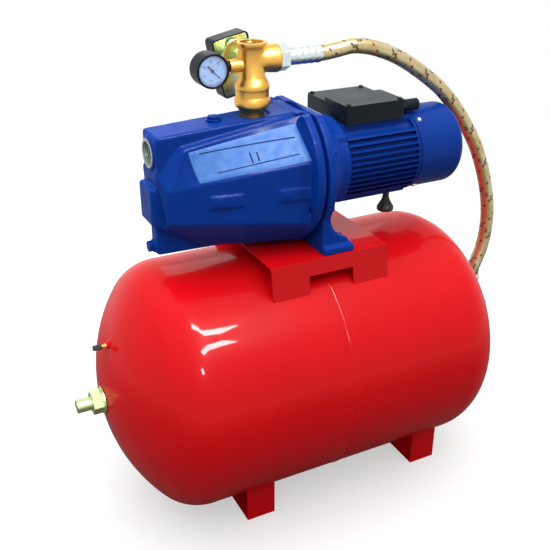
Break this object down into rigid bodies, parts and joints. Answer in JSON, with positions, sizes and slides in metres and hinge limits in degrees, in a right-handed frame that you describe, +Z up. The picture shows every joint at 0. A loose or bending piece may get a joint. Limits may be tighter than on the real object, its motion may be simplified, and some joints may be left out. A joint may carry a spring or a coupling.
{
  "type": "jet pump with pressure tank",
  "caption": "Self-priming jet pump with its motor on a horizontal pressure tank, with a brass fitting, gauge, pressure switch and braided hose.",
  "frame": {"origin": "on the floor, in the middle of the four foot holes", "axes": "+X along the tank towards the hose end, +Y towards the side with the pressure switch, +Z up"},
  "size_m": [0.7045, 0.3614, 0.6687],
  "materials": {
    "tank_red": "gloss powder coat on drawn steel",
    "pump_blue": "gloss blue paint on sand-cast iron",
    "frame_blue": "gloss blue paint on extruded aluminium",
    "cover_blue": "gloss blue paint on pressed steel",
    "brass": "forged and turned",
    "impeller_brass": "cast and machined",
    "zinc": "bright zinc plated",
    "zinc_yellow": "yellow passivated zinc",
    "steel": "ground",
    "bearing_steel": "polished rings",
    "shield_aluminium": "die cast",
    "winding": "laminations with varnished copper heads",
    "rubber_black": "moulded",
    "hose_braid": "rubber hose under a steel wire braid",
    "plastic_black": "moulded",
    "plastic_internal": "glass filled, moulded",
    "plastic_white": "moulded nylon",
    "ceramic": "lapped ceramic",
    "dial": "printed aluminium dial",
    "lens": "clear"
  },
  "bodies": {
    "unit": {"tank_shell_left": "tank_red", "tank_shell_right": "tank_red", "seam_weld": "tank_red", "bladder": "rubber_black", "foot_left": "tank_red", "foot_right": "tank_red", "pump_platform": "tank_red", "neck_ring": "tank_red", "counter_flange": "zinc", "flange_bolts": "zinc", "tank_elbow": "brass", "tail_stud": "zinc_yellow", "tail_nut": "zinc_yellow", "air_valve": "brass", "pump_body": "pump_blue", "ejector_nozzle": "brass", "venturi_tube": "plastic_internal", "diffuser": "plastic_internal", "body_oring": "rubber_black", "drain_plug": "pump_blue", "body_bolts": "zinc", "motor_bracket": "pump_blue", "seal_seat": "ceramic", "pump_foot_bolts": "zinc", "motor_frame": "frame_blue", "stator": "winding", "front_bearing": "bearing_steel", "rear_bearing": "bearing_steel", "rear_end_shield": "shield_aluminium", "tie_bolts": "zinc", "fan_cover": "cover_blue", "small_screws": "zinc", "terminal_box": "plastic_black", "terminal_lid": "plastic_black", "capacitor": "plastic_white", "terminal_block": "plastic_white", "cable_gland": "plastic_black", "rubber_foot": "rubber_black", "check_valve_body": "brass", "five_way_body": "brass", "valve_spring": "steel", "gauge_case": "plastic_black", "gauge_dial": "dial", "gauge_lens": "lens", "switch_base": "zinc_yellow", "switch_cover": "plastic_black", "switch_spring": "steel", "hose": "hose_braid", "hose_ferrules": "zinc", "hose_nuts": "zinc"},
    "rotor": {"motor_shaft": "steel", "rotor_core": "steel", "cooling_fan": "plastic_internal", "impeller": "impeller_brass", "seal_head": "steel"},
    "check_disc": {"valve_disc": "plastic_white"},
    "needle": {"gauge_needle": "plastic_black"},
    "lever": {"switch_lever": "zinc"},
    "plug": {"priming_plug": "pump_blue"},
    "valve_cap": {"air_valve_cap": "rubber_black"}
  },
  "joints": [
    {"name": "rotor_spin", "type": "hinge", "parent": "unit", "child": "rotor", "pos_m": [0, 0, 0.495], "axis": [1, 0, 0], "continuous": true},
    {"name": "check_disc_lift", "type": "slide", "parent": "unit", "child": "check_disc", "axis": [0, 0, 1], "range_m": [0, 0.007], "stiffness_N_per_m": 150, "springref_m": -0.005, "deforming": ["valve_spring"]},
    {"name": "needle_turn", "type": "hinge", "parent": "unit", "child": "needle", "pos_m": [-0.159, -0.016, 0.638], "axis": [0, 1, 0], "range_deg": [0, 270], "stiffness_Nm_per_rad": 0.0005, "springref_deg": -17.19},
    {"name": "lever_rock", "type": "hinge", "parent": "unit", "child": "lever", "pos_m": [-0.10091, 0.069, 0.65369], "axis": [0.9781, 0, 0.2079], "range_deg": [0, 4], "stiffness_Nm_per_rad": 0.5, "springref_deg": -5.73, "deforming": ["switch_spring"]},
    {"name": "plug_out", "type": "slide", "parent": "unit", "child": "plug", "axis": [0, 0, 1], "range_m": [0, 0.03]},
    {"name": "valve_cap_off", "type": "slide", "parent": "unit", "child": "valve_cap", "axis": [-1, 0, 0], "range_m": [0, 0.016]}
  ]
}
